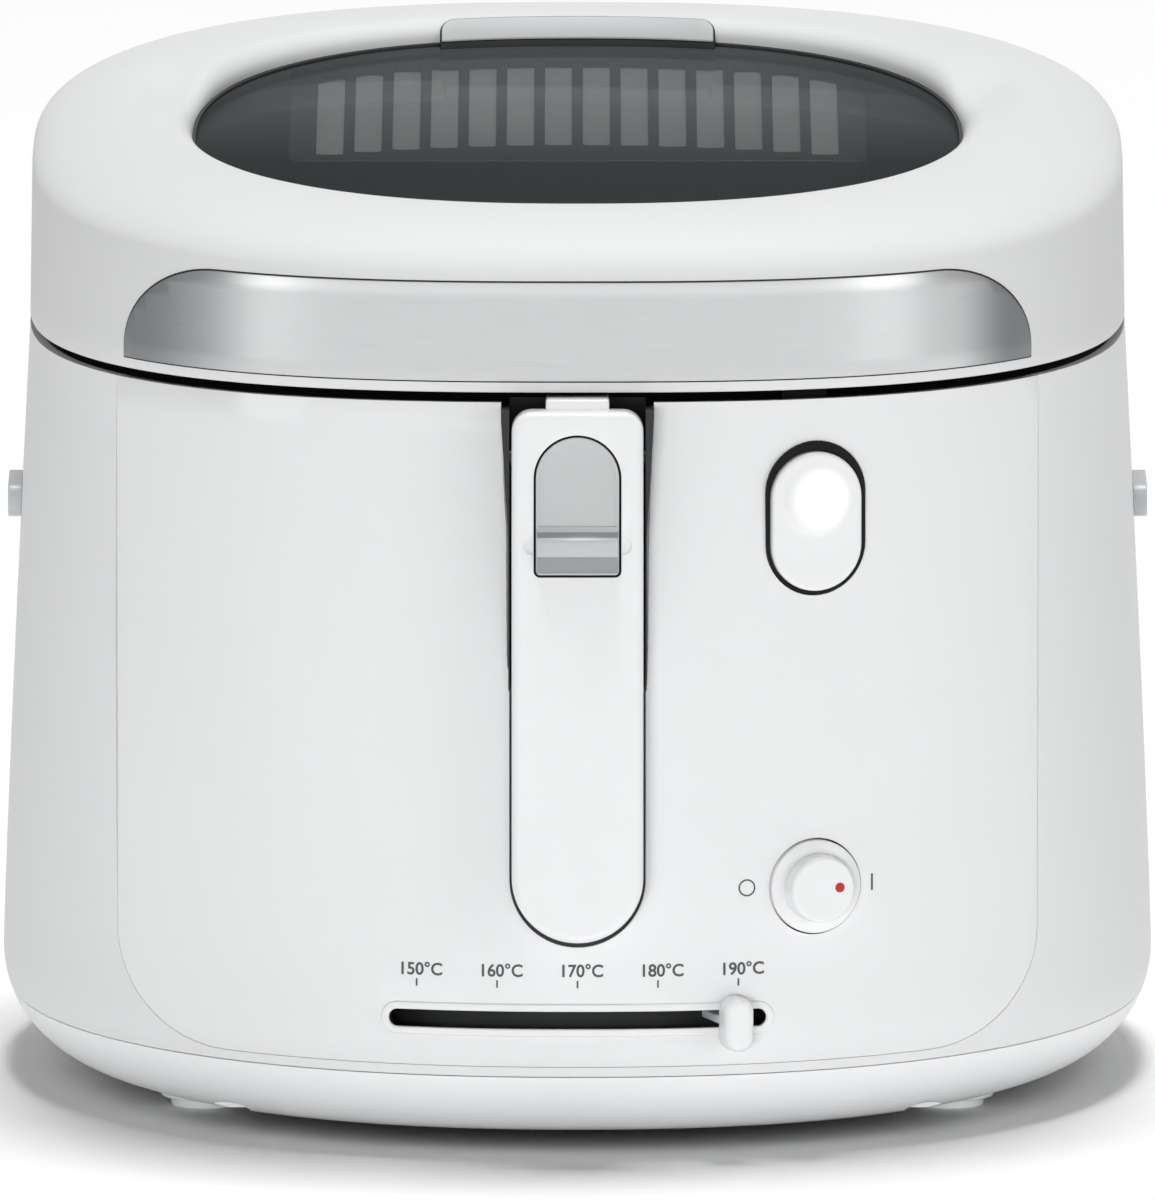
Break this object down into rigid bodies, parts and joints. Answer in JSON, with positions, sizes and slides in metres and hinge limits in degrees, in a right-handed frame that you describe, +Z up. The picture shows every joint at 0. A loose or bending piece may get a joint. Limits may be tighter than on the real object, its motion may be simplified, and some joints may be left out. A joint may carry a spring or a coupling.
{
  "type": "deep fryer",
  "caption": "Oval table-top deep fryer with a hinged window lid, a folding basket handle, a lid release button, a power knob and a temperature lever.",
  "frame": {"origin": "centre of the whole object's box, on the table plane under the feet", "axes": "+Z up, -Y towards the user (the side with the handle and controls), +X to the user's right"},
  "size_m": [0.3018, 0.3556, 0.2621],
  "materials": {
    "white_housing": "fine satin texture",
    "white_gloss": "polished",
    "grey_plastic": "satin",
    "foot_rubber": "matt",
    "steel": "bright zinc or nickel",
    "dark_plastic": "matt black",
    "nonstick": "dark non-stick coating",
    "ceramic": "glazed",
    "white_satin": "smooth satin",
    "seal_rubber": "matt",
    "smoked_glass": "smoked, polished",
    "trim_steel": "finely brushed across",
    "silver_plastic": "silver metallised",
    "filter_mat": "non-woven mat",
    "button_grey": "satin"
  },
  "bodies": {
    "root": {"outer_housing": "white_housing", "front_facade": "white_gloss", "base_skirt": "white_housing", "bottom_plate": "grey_plastic", "feet": "foot_rubber", "base_screws": "steel", "handle_channel": "dark_plastic", "rim_collar": "dark_plastic", "oil_bowl": "nonstick", "bowl_posts": "steel", "heating_element": "steel", "thermal_fuse": "steel", "thermostat": "ceramic", "power_switch": "dark_plastic", "switch_bracket": "steel", "terminal_block": "ceramic", "cord_gland": "dark_plastic", "side_grips": "grey_plastic", "hinge_bracket": "white_housing", "hinge_pin": "steel", "handle_pin": "steel", "release_ring": "dark_plastic", "release_guide": "grey_plastic", "release_spring": "steel", "knob_ring": "white_satin", "slot_frame": "white_satin"},
    "lid": {"lid_shell": "white_housing", "lid_inner_panel": "grey_plastic", "lid_gasket": "seal_rubber", "window_glass": "smoked_glass", "window_gasket": "seal_rubber", "trim_band": "trim_steel", "window_plaque": "silver_plastic", "filter_cover": "dark_plastic", "filter_cartridge": "filter_mat", "lid_hinge_arms": "white_housing", "lid_catch": "steel", "lid_screws": "steel"},
    "basket": {"basket_mesh": "steel", "basket_rim": "steel", "basket_bracket": "steel"},
    "handle": {"basket_handle": "white_satin", "unlock_spring": "steel"},
    "unlock": {"unlock_button": "button_grey"},
    "release": {"release_button": "white_satin", "latch_hook": "steel"},
    "knob": {"power_knob": "white_satin"},
    "lever": {"temperature_lever": "grey_plastic", "lever_knob": "white_satin"}
  },
  "joints": [
    {"name": "lid_hinge", "type": "hinge", "parent": "root", "child": "lid", "pos_m": [0, 0.1645, 0.194], "axis": [-1, 0, 0], "range_deg": [0, 80]},
    {"name": "handle_fold", "type": "hinge", "parent": "root", "child": "handle", "pos_m": [0, -0.1645, 0.184], "axis": [-1, 0, 0], "range_deg": [0, 88]},
    {"name": "basket_lift", "type": "slide", "parent": "root", "child": "basket", "axis": [0, 0, 1], "range_m": [0, 0.038]},
    {"name": "unlock_press", "type": "slide", "parent": "handle", "child": "unlock", "axis": [0, 0.9989, -0.0467], "range_m": [0, 0.0025], "stiffness_N_per_m": 400, "springref_m": -0.002},
    {"name": "release_press", "type": "slide", "parent": "root", "child": "release", "axis": [-0.2902, 0.957, 0], "range_m": [0, 0.004], "stiffness_N_per_m": 600, "springref_m": -0.002},
    {"name": "power_knob_turn", "type": "hinge", "parent": "root", "child": "knob", "pos_m": [0.0615, -0.15532, 0.0705], "axis": [0.3424, -0.9395, 0], "range_deg": [0, 180]},
    {"name": "temperature_turn", "type": "hinge", "parent": "root", "child": "lever", "pos_m": [0, -0.06285, 0.037], "axis": [0, 0, 1], "range_deg": [-44.5, 1.5]}
  ],
  "couplings": [
    {"joint": "basket_lift", "follows": "handle_fold", "m_per_rad": 0.024741}
  ]
}
